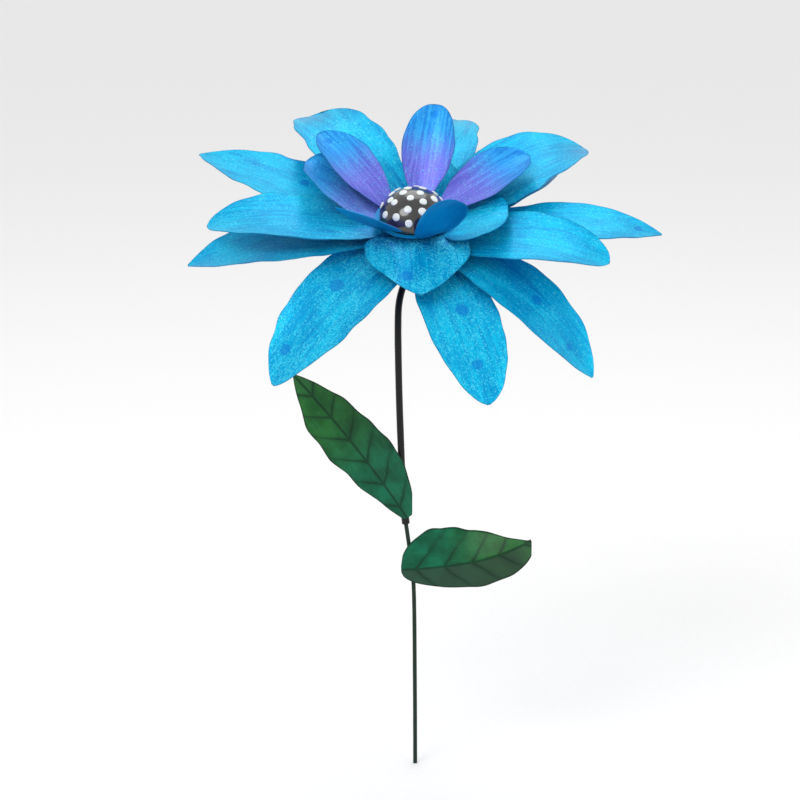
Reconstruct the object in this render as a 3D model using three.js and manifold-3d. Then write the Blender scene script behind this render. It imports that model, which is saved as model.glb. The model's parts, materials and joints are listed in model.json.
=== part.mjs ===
// Metal flower wind spinner on a bent garden stake.
// Millimetres, +Z up. The origin is the centre of the stake's cut foot.
// The flower head turns freely on a pivot pin at the top of the stem.
import * as THREE from "three";
import { mergeVertices } from "three/addons/utils/BufferGeometryUtils.js";
import Module from "manifold-3d";

const wasm = await Module();
wasm.setup();

// ---- Driving dimensions ----
const GAP = 0.3; // clearance left between neighbouring pieces
const SHEET = 0.5; // petal and leaf sheet metal
const LENGTH_CELLS = 10; // facets along a blade
const WIDTH_CELLS = 4; // facets across a blade
const ROUND_SIDES = 24; // facets round a small turned piece

const HUB = [-1, 0, 289]; // where the spin axis meets the lowest petal sheet
const TILT = 23; // degrees the spin axis leans toward -Y

const STAKE_RADIUS = 1.1;
const STEM_RADIUS = 1.8;
const FACET_SLACK = 0.08; // extra clearance where a faceted bore bends round a rod
const SOCKET_RADIUS = STAKE_RADIUS + GAP + FACET_SLACK;
const SOCKET_DEPTH = 21;
const CUT_OVERRUN = 1; // how far a bore's cutter runs past the end of the metal
const PIN_RADIUS = 1.1;
const PIN_SOCKET_DEPTH = 9;
const ROD_SIDES = 10;
const STAKE_STEPS = 22;
const STEM_STEPS = 34;

const LAYER_PITCH = 3; // from one petal sheet to the next
// [disc radius, distance from the axis where its blades begin] of each layer
const OUTER_DISC = [11, 8];
const MIDDLE_DISC = [16, 14];
const INNER_DISC = [19.4, 18.6];

const PIN_PLAY = 0.4;
const BUSH_BORE = PIN_RADIUS + PIN_PLAY;
const BUSH_RADIUS = 2.5;
const BUSH_STAND = 0.4; // how far the bush stands above the hub nut
const CLAMP_BORE = BUSH_RADIUS + GAP + 0.05;
const FLANGE_RADIUS = 6.5;
const FLANGE_THICKNESS = 1.2;
const BACKING_RADIUS = 8;
const BACKING_THICKNESS = 1.4;
const SPACER_RADIUS = 6;
const WASHER_THICKNESS = 0.8;
const WASHER_RADIUS = 3.8;
const NUT_ACROSS_FLATS = 7.5;
const NUT_THICKNESS = 2.6;
const CAP_RADIUS = 3;
const CAP_THICKNESS = 3.2;
const CAP_SHOULDER = 2; // height of the cap's straight side
const CAP_TOP_RADIUS = 1.6;
const PIN_SHORT_OF_CAP = 1.2; // from the pin's end to the cap's top

const DOME_RADIUS = 17.2;
const DOME_HEIGHT = 14.4;
const DOME_WALL = 0.8;
const DOME_STEPS = 7;
const DOME_SIDES = 30;
const DISC_SIDES = 36;

const COLLAR_RADIUS = 2.2;
const COLLAR_LENGTH = 9;
const LINE_SEARCH_STEP = 0.001; // share of the stake's line tried at a time
const UPPER_COLLAR_Z = 139.5;
const LOWER_COLLAR_Z = 110.5;

// ---- Rod centre lines, chosen by hand along the bends of the wire ----
const STAKE_LINE = [
  [0, 0, 0],
  [-0.2, 0, 50],
  [-0.8, 0, 100],
  [-3.1, 0, 122],
  [-5.1, 0, 137],
  [-6, 0, 146],
  [-6.5, 0, 156],
  [-6.95, 0, 165],
];
const STEM_LINE = [
  [-6, 0, 146],
  [-6.5, 0, 156],
  [-7, 0, 166],
  [-7.5, 0, 180],
  [-8.1, 0, 198],
  [-8.6, 0, 220],
  [-8.8, 0.4, 240],
  [-8.3, 2, 252],
  [-6, 5, 261],
  [-2.8, 7.4, 267.5],
];
const STEM_TOP = -5; // height of the stem's top face on the spin axis
const STEM_AXIS_HEIGHTS = [-18, -14, -9.5, STEM_TOP];

// ---- Blades ----
// Angles in degrees. slopes: rise of the blade from root to tip, evenly spaced.
// roll: twist about the midrib at root and tip. turn: change of heading at root
// and tip. cup: how far the edges curl up. widest: where the blade is widest.
// blunt: small for a square tip, near 1 for a pointed one. rootWidth: share of
// the full width at the root. rise: under 1 for a root that is rounded. left and right:
// half a blade each, with a width of its own, where the two halves differ.
const BLADE = {
  cup: [0, 0.14],
  fold: [0, 0],
  roll: [0, 0],
  turn: [0, 0],
  blunt: 0.55,
  widest: 0.52,
  rootWidth: 0.34,
};

const LOWER_PETALS = [
  { azimuth: 1, length: 119, width: 36, slopes: [3, 5, -18], cup: [0, 0.1], roll: [4, 0], blunt: 0.8 },
  { azimuth: 38, length: 90, width: 36, slopes: [6, 8, -22], cup: [0, 0.1], blunt: 0.8 },
  { azimuth: 78, length: 110, width: 37, slopes: [8, 6, -20], blunt: 0.42 },
  { azimuth: 147, length: 128, width: 38, slopes: [3, 5, -9], cup: [0, 0.1], blunt: 0.85 },
  { azimuth: 186, length: 108, width: 40, slopes: [4, -4, -22], blunt: 0.8 },
  {
    azimuth: 231,
    length: 104,
    width: 47,
    slopes: [-4, -24, -54],
    turn: [0, -14],
    blunt: 0.7,
    rootWidth: 0.5,
    widest: 0.46,
  },
  { azimuth: 296, length: 99, width: 38, slopes: [-10, -26, -40], turn: [0, -8], blunt: 0.6 },
  { azimuth: 328, length: 114, width: 37, slopes: [0, -26, -56], blunt: 0.75 },
];
const UPPER_PETALS = [
  { azimuth: 343, length: 95, width: 39, slopes: [2, 9, -25], roll: [12, 0], blunt: 0.5 },
  { azimuth: 36, length: 105, width: 46, slopes: [7, 17, 5, -24], roll: [4, 0] },
  { azimuth: 121, length: 103, width: 43, slopes: [7, 22, 6, -24], blunt: 0.42, widest: 0.58 },
  { azimuth: 181, length: 97, width: 40, slopes: [7, 8, -19] },
];
const MIDDLE_PETALS = [
  { azimuth: 149, length: 53, width: 37, slopes: [8, 30, 18, 2], cup: [0, 0.24] },
  { azimuth: 72, length: 36, width: 26, slopes: [8, 16, 16, 8] },
  { azimuth: 352, length: 35, width: 42, slopes: [8, 20, 6], blunt: 0.4, rootWidth: 0.45 },
  {
    azimuth: 274,
    length: 39,
    width: 52,
    slopes: [0, -12, -16, -16, -16, -18],
    cup: [0.06, 0.06],
    roll: [0, -3],
    blunt: 0.85,
    rootWidth: 0.72,
    widest: 0.2,
  },
];
const INNER_PETALS = [
  { azimuth: 31, length: 53, width: 32, slopes: [20, 18, 10], cup: [0.1, 0.3] },
  { azimuth: 78, length: 50.8, width: 27, slopes: [44, 44, 34], cup: [0.1, 0.3], blunt: 0.5 },
  { azimuth: 137, length: 53, width: 27, slopes: [32, 27, 15], cup: [0.1, 0.3], blunt: 0.6 },
  {
    azimuth: 218,
    length: 31,
    slopes: [30, 38, 38],
    turn: [-18, -18],
    roll: [28, 30],
    cup: [0, 0],
    left: { width: 6, rootWidth: 0.5, widest: 0.4, blunt: 0.8 },
    right: { width: 22, rootWidth: 0.8, widest: 0.25, blunt: 0.8 },
  },
  {
    azimuth: 284,
    length: 38,
    width: 24,
    slopes: [30, 60, 50],
    cup: [0.1, 0.2],
    roll: [-10, -60],
    turn: [20, 60],
    blunt: 0.5,
  },
];

const UPPER_LEAF = {
  start: [-4.2, -2.9, 139.2],
  azimuth: 180,
  length: 98,
  slopes: [58, 53, 47],
  roll: [-97, -76],
  turn: [14, -8],
  cup: [0, 0],
  fold: [0, -0.14, -0.1],
  left: { width: 15.6, rootWidth: 0.2, widest: 0.36, blunt: 0.9, rise: 0.8 },
  right: { width: 14.5, rootWidth: 0.12, widest: 0.6, blunt: 1.1, rise: 0.9 },
};
const LOWER_LEAF = {
  start: [-7.4, -3.35, 110.8],
  azimuth: 0,
  length: 71.5,
  slopes: [2, 12, 34],
  roll: [88, 72],
  turn: [0, -12],
  cup: [0, 0],
  fold: [0, -0.3, -0.3],
  left: { width: 13.5, rootWidth: 0.1, widest: 0.6, blunt: 0.5, rise: 0.5 },
  right: { width: 20, rootWidth: 0.1, widest: 0.3, blunt: 1.1, rise: 0.45 },
};

// ---- Materials: colour, roughness, metalness ----
const paint = (color, roughness) =>
  new THREE.MeshStandardMaterial({ color, roughness, metalness: 0.1, side: THREE.DoubleSide });
const metal = (color, roughness) =>
  new THREE.MeshStandardMaterial({ color, roughness, metalness: 1 });

// ---- Helpers ----
const radians = THREE.MathUtils.degToRad;
const mix = THREE.MathUtils.lerp;

// Joins the vertices that faces share, so that the surface closes.
function closed(geometry) {
  const flat = geometry.clone();
  flat.deleteAttribute("normal");
  flat.deleteAttribute("uv");
  return mergeVertices(flat, 1e-4);
}

function toSolid(geometry) {
  const shape = closed(geometry);
  return new wasm.Manifold(
    new wasm.Mesh({
      numProp: 3,
      vertProperties: new Float32Array(shape.attributes.position.array),
      triVerts: new Uint32Array(shape.index.array),
    }),
  );
}

function toGeometry(solid) {
  const { numProp, vertProperties, triVerts } = solid.getMesh();
  const count = vertProperties.length / numProp;
  const points = new Float32Array(count * 3);
  for (let i = 0; i < count; i++) {
    points.set(vertProperties.subarray(i * numProp, i * numProp + 3), i * 3);
  }
  const geometry = new THREE.BufferGeometry();
  geometry.setAttribute("position", new THREE.BufferAttribute(points, 3));
  geometry.setIndex(new THREE.BufferAttribute(new Uint32Array(triVerts), 1));
  geometry.computeVertexNormals();
  return geometry;
}

function addPiece(parent, name, geometry, material) {
  const mesh = new THREE.Mesh(geometry, material);
  mesh.name = name;
  parent.add(mesh);
  return mesh;
}

// A turned shape about +Z from [radius, height] corners, listed counterclockwise.
function turned(corners, sides = ROUND_SIDES) {
  const profile = corners.map(([r, z]) => new THREE.Vector2(r, z));
  return new THREE.LatheGeometry(profile, sides).rotateX(Math.PI / 2);
}

function ring(inside, outside, bottom, top, sides = ROUND_SIDES) {
  return turned(
    [
      [inside, bottom],
      [outside, bottom],
      [outside, top],
      [inside, top],
      [inside, bottom],
    ],
    sides,
  );
}

// A round bar between two points on a straight line.
function bar(radius, from, to) {
  const start = new THREE.Vector3(...from);
  const along = new THREE.Vector3(...to).sub(start);
  const geometry = new THREE.CylinderGeometry(radius, radius, along.length(), ROD_SIDES);
  geometry.translate(0, along.length() / 2, 0);
  const turn = new THREE.Quaternion().setFromUnitVectors(
    new THREE.Vector3(0, 1, 0),
    along.clone().normalize(),
  );
  return geometry.applyQuaternion(turn).translate(...from);
}

// A round rod along a smooth line through the points.
function rod(radius, points, steps) {
  const line = new THREE.CatmullRomCurve3(points.map((p) => new THREE.Vector3(...p)));
  const section = new THREE.Shape();
  section.absarc(0, 0, radius, 0, Math.PI * 2);
  return new THREE.ExtrudeGeometry(section, {
    extrudePath: line,
    steps,
    curveSegments: ROD_SIDES / 2,
  });
}

// The value at u between numbers evenly spaced from 0 to 1.
function along(values, u) {
  const place = u * (values.length - 1);
  const i = Math.min(Math.floor(place), values.length - 2);
  return mix(values[i], values[i + 1], place - i);
}

// Share of a blade's full width at u along it.
function outline({ rootWidth, widest, blunt, rise = 1 }, u) {
  if (u < widest) {
    return mix(rootWidth, 1, Math.sin(((Math.PI / 2) * u) / widest) ** rise);
  }
  const t = (u - widest) / (1 - widest);
  return Math.max(0.04, (1 - t * t) ** blunt);
}

// The blade's frame at u: T along it, C across it and N out of its upper face.
function bladeFrame(blade, u) {
  const slope = radians(along(blade.slopes, u));
  const heading = radians(blade.azimuth + along(blade.turn, u));
  const T = new THREE.Vector3(
    Math.cos(slope) * Math.cos(heading),
    Math.cos(slope) * Math.sin(heading),
    Math.sin(slope),
  );
  const C = new THREE.Vector3(-Math.sin(heading), Math.cos(heading), 0);
  C.applyAxisAngle(T, radians(along(blade.roll, u)));
  return { T, C, N: T.clone().cross(C) };
}

// A curved sheet-metal blade of constant thickness.
function bladeGeometry(shape) {
  const blade = { ...BLADE, ...shape };
  const rib = new THREE.Vector3(...blade.start);
  const step = blade.length / LENGTH_CELLS;
  const rowSize = WIDTH_CELLS + 1;
  const upper = [];
  const lower = [];
  for (let i = 0; i <= LENGTH_CELLS; i++) {
    const u = i / LENGTH_CELLS;
    if (i > 0) {
      rib.addScaledVector(bladeFrame(blade, u - 0.5 / LENGTH_CELLS).T, step);
    }
    const { C, N } = bladeFrame(blade, u);
    for (let j = 0; j <= WIDTH_CELLS; j++) {
      const v = (2 * j) / WIDTH_CELLS - 1;
      const side = v < 0 ? blade.left : blade.right;
      const half = side
        ? side.width * outline(side, u)
        : (blade.width / 2) * outline(blade, u);
      const rise = half * (along(blade.cup, u) * v * v + along(blade.fold, u) * Math.abs(v));
      const middle = rib.clone().addScaledVector(C, half * v).addScaledVector(N, rise);
      upper.push(middle.clone().addScaledVector(N, SHEET / 2));
      lower.push(middle.addScaledVector(N, -SHEET / 2));
    }
  }
  const under = upper.length;
  const faces = [];
  const quad = (a, b, c, d) => faces.push(a, b, c, a, c, d);
  for (let i = 0; i < LENGTH_CELLS; i++) {
    for (let j = 0; j < WIDTH_CELLS; j++) {
      const a = i * rowSize + j;
      const b = a + rowSize;
      quad(a, b, b + 1, a + 1);
      quad(under + a, under + a + 1, under + b + 1, under + b);
    }
  }
  const border = [];
  for (let i = 0; i < LENGTH_CELLS; i++) border.push(i * rowSize);
  for (let j = 0; j < WIDTH_CELLS; j++) border.push(LENGTH_CELLS * rowSize + j);
  for (let i = LENGTH_CELLS; i > 0; i--) border.push(i * rowSize + WIDTH_CELLS);
  for (let j = WIDTH_CELLS; j > 0; j--) border.push(j);
  border.forEach((a, k) => {
    const b = border[(k + 1) % border.length];
    quad(a, under + a, under + b, b);
  });
  const geometry = new THREE.BufferGeometry();
  const points = upper.concat(lower).flatMap((p) => p.toArray());
  geometry.setAttribute("position", new THREE.Float32BufferAttribute(points, 3));
  geometry.setIndex(faces);
  geometry.computeVertexNormals();
  return geometry;
}

// One stamped layer: a disc with its petals, clamped at the centre.
function petalLayer(petals, height, [discRadius, rootRadius]) {
  const disc = ring(CLAMP_BORE, discRadius, height - SHEET / 2, height + SHEET / 2, DISC_SIDES);
  let layer = toSolid(disc);
  for (const petal of petals) {
    const angle = radians(petal.azimuth);
    const start = [rootRadius * Math.cos(angle), rootRadius * Math.sin(angle), height];
    layer = layer.add(toSolid(bladeGeometry({ ...petal, start })));
  }
  return toGeometry(layer);
}

function hexNut(acrossFlats, bore, bottom, thickness) {
  const corner = acrossFlats / Math.sqrt(3);
  const outlineShape = new THREE.Shape();
  for (let i = 0; i < 6; i++) {
    const angle = (i * Math.PI) / 3;
    const x = corner * Math.cos(angle);
    const y = corner * Math.sin(angle);
    if (i === 0) outlineShape.moveTo(x, y);
    else outlineShape.lineTo(x, y);
  }
  outlineShape.closePath();
  const hole = new THREE.Path();
  hole.absarc(0, 0, bore, 0, Math.PI * 2, true);
  outlineShape.holes.push(hole);
  return new THREE.ExtrudeGeometry(outlineShape, {
    depth: thickness,
    bevelEnabled: false,
    curveSegments: ROD_SIDES,
  }).translate(0, 0, bottom);
}

// A hollow dome, open at its rim.
function domeShell(bottom) {
  const corners = [];
  for (let i = 0; i <= DOME_STEPS; i++) {
    const angle = (i / DOME_STEPS) * (Math.PI / 2);
    const r = i === DOME_STEPS ? 0 : DOME_RADIUS * Math.cos(angle);
    corners.push([r, bottom + DOME_HEIGHT * Math.sin(angle)]);
  }
  for (let i = DOME_STEPS; i >= 0; i--) {
    const angle = (i / DOME_STEPS) * (Math.PI / 2);
    const r = i === DOME_STEPS ? 0 : (DOME_RADIUS - DOME_WALL) * Math.cos(angle);
    corners.push([r, bottom + (DOME_HEIGHT - DOME_WALL) * Math.sin(angle)]);
  }
  corners.push(corners[0]);
  return turned(corners, DOME_SIDES);
}

// ---- Assembly ----
const spinner = new THREE.Group();

// The head's own frame: +Z is the spin axis, at the lowest petal sheet.
const head = new THREE.Group();
head.position.set(...HUB);
head.rotation.x = radians(TILT);
spinner.add(head);
head.updateMatrixWorld(true);
const onAxis = (height) => head.localToWorld(new THREE.Vector3(0, 0, height)).toArray();

const stemBlack = () => paint(0x10100f, 0.35);
const leafGreen = () => paint(0x1c6a3a, 0.45);
const petalBlue = () => paint(0x0a9fd8, 0.35);
const zincPlate = () => metal(0xb8bcc0, 0.35);

function buildStake() {
  addPiece(spinner, "ground_stake", rod(STAKE_RADIUS, STAKE_LINE, STAKE_STEPS), paint(0x15251c, 0.5));
}

function buildStem() {
  const points = STEM_LINE.concat(STEM_AXIS_HEIGHTS.map(onAxis));
  const foot = new THREE.Vector3(...STEM_LINE[0]);
  const upward = new THREE.Vector3(...STEM_LINE[2]).sub(foot).normalize();
  const socketFrom = foot.clone().addScaledVector(upward, -CUT_OVERRUN).toArray();
  const socketTo = foot.clone().addScaledVector(upward, SOCKET_DEPTH + CUT_OVERRUN).toArray();
  const pinHole = bar(
    PIN_RADIUS + GAP,
    onAxis(STEM_TOP - PIN_SOCKET_DEPTH),
    onAxis(STEM_TOP + CUT_OVERRUN),
  );
  const stem = toSolid(rod(STEM_RADIUS, points, STEM_STEPS))
    .subtract(toSolid(bar(SOCKET_RADIUS, socketFrom, socketTo)))
    .subtract(toSolid(pinHole));
  addPiece(spinner, "upper_stem", toGeometry(stem), stemBlack());
}

// A crimped collar round the stake, which a leaf is welded to.
function buildCollar(name, z) {
  const line = new THREE.CatmullRomCurve3(STAKE_LINE.map((p) => new THREE.Vector3(...p)));
  let t = 0;
  while (line.getPoint(t).z < z) t += LINE_SEARCH_STEP;
  const collar = ring(SOCKET_RADIUS, COLLAR_RADIUS, -COLLAR_LENGTH / 2, COLLAR_LENGTH / 2);
  const mesh = addPiece(spinner, name, collar, stemBlack());
  mesh.position.copy(line.getPoint(t));
  mesh.quaternion.setFromUnitVectors(new THREE.Vector3(0, 0, 1), line.getTangent(t));
}

function buildLeaves() {
  addPiece(spinner, "upper_leaf", bladeGeometry(UPPER_LEAF), leafGreen());
  addPiece(spinner, "lower_leaf", bladeGeometry(LOWER_LEAF), leafGreen());
  buildCollar("upper_leaf_collar", UPPER_COLLAR_Z);
  buildCollar("lower_leaf_collar", LOWER_COLLAR_Z);
}

// The pieces stacked on the spin axis, from the stem's top face up.
function buildPivotAndHub() {
  const washerBottom = STEM_TOP + GAP;
  const flangeBottom = washerBottom + WASHER_THICKNESS + GAP;
  const flangeTop = flangeBottom + FLANGE_THICKNESS;
  const backingBottom = flangeTop + GAP;
  const layerHeights = [0, 1, 2, 3].map((i) => i * LAYER_PITCH);
  const topSheet = layerHeights[3] + SHEET / 2;
  const nutBottom = topSheet + GAP;
  const bushTop = nutBottom + NUT_THICKNESS + BUSH_STAND;
  const upperWasherBottom = bushTop + GAP;
  const capBottom = upperWasherBottom + WASHER_THICKNESS + GAP;
  const pinTop = capBottom + CAP_THICKNESS - PIN_SHORT_OF_CAP;
  const capBore = PIN_RADIUS + GAP;

  const pin = bar(PIN_RADIUS, [0, 0, STEM_TOP - PIN_SOCKET_DEPTH + GAP], [0, 0, pinTop]);
  addPiece(head, "pivot_pin", pin, metal(0x9a9ea2, 0.3));
  const lowerWasher = ring(capBore, WASHER_RADIUS, washerBottom, washerBottom + WASHER_THICKNESS);
  addPiece(head, "lower_thrust_washer", lowerWasher, zincPlate());

  const bush = turned([
    [BUSH_BORE, flangeBottom],
    [FLANGE_RADIUS, flangeBottom],
    [FLANGE_RADIUS, flangeTop],
    [BUSH_RADIUS, flangeTop],
    [BUSH_RADIUS, bushTop],
    [BUSH_BORE, bushTop],
    [BUSH_BORE, flangeBottom],
  ]);
  addPiece(head, "hub_bush", bush, metal(0xb08a3c, 0.35));
  const backing = ring(CLAMP_BORE, BACKING_RADIUS, backingBottom, backingBottom + BACKING_THICKNESS);
  addPiece(head, "backing_plate", backing, zincPlate());

  const layers = [
    ["petal_layer_lower", LOWER_PETALS, OUTER_DISC],
    ["petal_layer_upper", UPPER_PETALS, OUTER_DISC],
    ["petal_layer_middle", MIDDLE_PETALS, MIDDLE_DISC],
    ["petal_layer_inner", INNER_PETALS, INNER_DISC],
  ];
  layers.forEach(([name, petals, disc], i) => {
    addPiece(head, name, petalLayer(petals, layerHeights[i], disc), petalBlue());
  });
  for (let i = 0; i < 3; i++) {
    const bottom = layerHeights[i] + SHEET / 2 + GAP;
    const top = layerHeights[i + 1] - SHEET / 2 - GAP;
    addPiece(head, `spacer_ring_${i + 1}`, ring(CLAMP_BORE, SPACER_RADIUS, bottom, top), zincPlate());
  }
  const nut = hexNut(NUT_ACROSS_FLATS, CLAMP_BORE, nutBottom, NUT_THICKNESS);
  addPiece(head, "hub_nut", nut, zincPlate());

  const upperWasher = ring(
    capBore,
    WASHER_RADIUS,
    upperWasherBottom,
    upperWasherBottom + WASHER_THICKNESS,
  );
  addPiece(head, "upper_thrust_washer", upperWasher, zincPlate());
  const cap = turned([
    [capBore, capBottom],
    [CAP_RADIUS, capBottom],
    [CAP_RADIUS, capBottom + CAP_SHOULDER],
    [CAP_TOP_RADIUS, capBottom + CAP_THICKNESS],
    [0, capBottom + CAP_THICKNESS],
    [0, pinTop + GAP],
    [capBore, pinTop + GAP],
    [capBore, capBottom],
  ]);
  addPiece(head, "pin_cap", cap, zincPlate());
  addPiece(head, "dome_cap", domeShell(topSheet + GAP), paint(0x101012, 0.25));
}

buildStake();
buildStem();
buildLeaves();
buildPivotAndHub();

export default spinner;
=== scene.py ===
"""Looks of the metal flower wind spinner: painted sheet petals, dotted dome, stem, stake and leaves.

Metres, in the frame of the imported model. The head is built in its own frame, whose +Z is the
spin axis with z = 0 at the lowest petal sheet, and is then placed on the joint's axis.
"""
import json
import math

import bmesh
import bpy
from mathutils import Matrix, Quaternion, Vector, noise


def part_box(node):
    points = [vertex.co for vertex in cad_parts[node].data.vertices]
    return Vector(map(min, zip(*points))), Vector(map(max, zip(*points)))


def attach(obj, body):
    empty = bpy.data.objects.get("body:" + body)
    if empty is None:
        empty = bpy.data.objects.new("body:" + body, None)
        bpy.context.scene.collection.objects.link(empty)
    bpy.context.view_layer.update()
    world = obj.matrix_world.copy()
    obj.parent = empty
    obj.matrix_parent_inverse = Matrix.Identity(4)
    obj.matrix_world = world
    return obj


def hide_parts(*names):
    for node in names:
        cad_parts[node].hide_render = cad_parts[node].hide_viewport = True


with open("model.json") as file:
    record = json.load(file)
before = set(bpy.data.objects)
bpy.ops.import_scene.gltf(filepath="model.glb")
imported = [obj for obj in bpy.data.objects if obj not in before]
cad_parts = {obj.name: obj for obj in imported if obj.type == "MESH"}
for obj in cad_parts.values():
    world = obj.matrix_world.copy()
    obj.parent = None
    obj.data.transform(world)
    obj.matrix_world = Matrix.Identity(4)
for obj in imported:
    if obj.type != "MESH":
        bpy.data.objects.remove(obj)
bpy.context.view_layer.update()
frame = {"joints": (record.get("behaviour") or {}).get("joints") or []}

MM = 0.001
SPIN = frame["joints"][0]
HUB = Vector(SPIN["pos_m"])
SPIN_AXIS = Vector(SPIN["axis"]).normalized()
HEAD = Matrix.Translation(HUB) @ Vector((0, 0, 1)).rotation_difference(SPIN_AXIS).to_matrix().to_4x4()
STAKE_BODY = "stake"
FLOWER_BODY = "flower"

# ---- Sizes in millimetres, as in the CAD model ----
SHEET = 0.5
GAP = 0.3
LAYER_PITCH = 3
STAKE_RADIUS = 1.1
STEM_RADIUS = 1.8
PIN_RADIUS = 1.1
COLLAR_RADIUS = 2.2
COLLAR_LENGTH = 9
DOME_RADIUS = 17.2
DOME_HEIGHT = 14.4
DOME_WALL = 0.8
DOME_BOTTOM = 3 * LAYER_PITCH + SHEET / 2 + GAP
DOT_RADIUS = 2.15
DOT_HEIGHT = 0.55

# ---- Fineness of the visual meshes ----
BLADE_ROWS = 72
BLADE_COLUMNS = 20
ROD_SIDES = 24
TURNED_SIDES = 72
WALL_PITCH = 2.0
# Edges sharper than these angles, in degrees, shade as corners.
CORNER_ANGLE = 35
SHEET_CORNER_ANGLE = 50
# Rounds on the edges of the turned pieces, in millimetres.
EDGE_ROUND = 0.12
WASHER_ROUND = 0.15
PLATE_ROUND = 0.25
NUT_ROUND = 0.06
PIN_ROUND = 0.3
CAP_ROUND = 0.2
COLLAR_ROUND = 0.3

# ---- Blades: the CAD model's values, with each petal's paint ----
# Angles in degrees. slopes: rise from root to tip, evenly spaced. roll: twist about the
# midrib at root and tip. turn: change of heading at root and tip. cup: how far the edges
# curl up. blunt: small for a square tip, near 1 for a pointed one. glitter and lilac: 0 to 1.
# dots: round dabs of darker paint, as (distance from the root, offset, radius).
BLADE = dict(
    width=0, cup=(0, 0.14), fold=(0, 0), roll=(0, 0), turn=(0, 0),
    blunt=0.55, widest=0.52, root_width=0.34, left=None, right=None,
    glitter=0.25, lilac=0, dots=(),
)
LOWER_PETALS = [
    dict(azimuth=1, length=119, width=36, slopes=(3, 5, -18), cup=(0, 0.1), roll=(4, 0), blunt=0.8,
         dots=[(106, 0, 2.4)]),
    dict(azimuth=38, length=90, width=36, slopes=(6, 8, -22), cup=(0, 0.1), blunt=0.8),
    dict(azimuth=78, length=110, width=37, slopes=(8, 6, -20), blunt=0.42),
    dict(azimuth=147, length=128, width=38, slopes=(3, 5, -9), cup=(0, 0.1), blunt=0.85,
         dots=[(62, -4, 2.6)]),
    dict(azimuth=186, length=108, width=40, slopes=(4, -4, -22), blunt=0.8),
    dict(azimuth=231, length=104, width=47, slopes=(-4, -24, -54), turn=(0, -14), blunt=0.7,
         root_width=0.5, widest=0.46, glitter=0.8, dots=[(86, -5, 3.1), (44, -6, 4)]),
    dict(azimuth=296, length=99, width=38, slopes=(-10, -26, -40), turn=(0, -8), blunt=0.6,
         glitter=0.6, dots=[(78, 0, 2.9), (48, 2, 3.4)]),
    dict(azimuth=328, length=114, width=37, slopes=(0, -26, -56), blunt=0.75,
         dots=[(94, -3, 2.2), (66, 2, 3)]),
]
UPPER_PETALS = [
    dict(azimuth=343, length=95, width=39, slopes=(2, 9, -25), roll=(12, 0), blunt=0.5),
    dict(azimuth=36, length=105, width=46, slopes=(7, 17, 5, -24), roll=(4, 0), glitter=0.35),
    dict(azimuth=121, length=103, width=43, slopes=(7, 22, 6, -24), blunt=0.42, widest=0.58,
         glitter=0.35),
    dict(azimuth=181, length=97, width=40, slopes=(7, 8, -19), glitter=0.4),
]
MIDDLE_PETALS = [
    dict(azimuth=149, length=53, width=37, slopes=(8, 30, 18, 2), cup=(0, 0.24), lilac=0.8),
    dict(azimuth=72, length=36, width=26, slopes=(8, 16, 16, 8)),
    dict(azimuth=352, length=35, width=42, slopes=(8, 20, 6), blunt=0.4, root_width=0.45, glitter=0.4),
    dict(azimuth=274, length=39, width=52, slopes=(0, -12, -16, -16, -16, -18), cup=(0.06, 0.06),
         roll=(0, -3), blunt=0.85, root_width=0.72, widest=0.2, glitter=1, dots=[(27, -6, 3.4)]),
]
INNER_PETALS = [
    dict(azimuth=31, length=53, width=32, slopes=(20, 18, 10), cup=(0.1, 0.3)),
    dict(azimuth=78, length=50.8, width=27, slopes=(44, 44, 34), cup=(0.1, 0.3), blunt=0.5,
         dots=[(45, 0, 2.2)]),
    dict(azimuth=137, length=53, width=27, slopes=(32, 27, 15), cup=(0.1, 0.3), blunt=0.6,
         dots=[(46, 0, 2.4)]),
    dict(azimuth=218, length=31, slopes=(30, 38, 38), turn=(-18, -18), roll=(28, 30), cup=(0, 0),
         left=dict(width=6, root_width=0.5, widest=0.4, blunt=0.8),
         right=dict(width=22, root_width=0.8, widest=0.25, blunt=0.8)),
    dict(azimuth=284, length=38, width=24, slopes=(30, 60, 50), cup=(0.1, 0.2), roll=(-10, -60),
         turn=(20, 60), blunt=0.5),
]
# (disc radius, distance from the axis where its blades begin) of each layer
OUTER_DISC = (11, 8)
MIDDLE_DISC = (16, 14)
INNER_DISC = (19.4, 18.6)
DISC_BORE = 2.85

UPPER_LEAF = dict(
    start=(-4.2, -2.9, 139.2), azimuth=180, length=98, slopes=(58, 53, 47), roll=(-97, -76),
    turn=(14, -8), cup=(0, 0), fold=(0, -0.14, -0.1),
    left=dict(width=15.6, root_width=0.2, widest=0.36, blunt=0.9, rise=0.8),
    right=dict(width=14.5, root_width=0.12, widest=0.6, blunt=1.1, rise=0.9),
)
LOWER_LEAF = dict(
    start=(-7.4, -3.35, 110.8), azimuth=0, length=71.5, slopes=(2, 12, 34), roll=(88, 72),
    turn=(0, -12), cup=(0, 0), fold=(0, -0.3, -0.3),
    left=dict(width=13.5, root_width=0.1, widest=0.6, blunt=0.5, rise=0.5),
    right=dict(width=20, root_width=0.1, widest=0.3, blunt=1.1, rise=0.45),
)

# ---- Rod centre lines in millimetres, the points of the CAD model ----
STAKE_LINE = [
    (0, 0, 0), (-0.2, 0, 50), (-0.8, 0, 100), (-3.1, 0, 122),
    (-5.1, 0, 137), (-6, 0, 146), (-6.5, 0, 156), (-6.95, 0, 165),
]
STEM_LINE = [
    (-6, 0, 146), (-6.5, 0, 156), (-7, 0, 166), (-7.5, 0, 180), (-8.1, 0, 198),
    (-8.6, 0, 220), (-8.8, 0.4, 240), (-8.3, 2, 252), (-6, 5, 261), (-2.8, 7.4, 267.5),
]
STEM_TOP = -5
STEM_AXIS_HEIGHTS = (-18, -14, -9.5, STEM_TOP)

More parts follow.
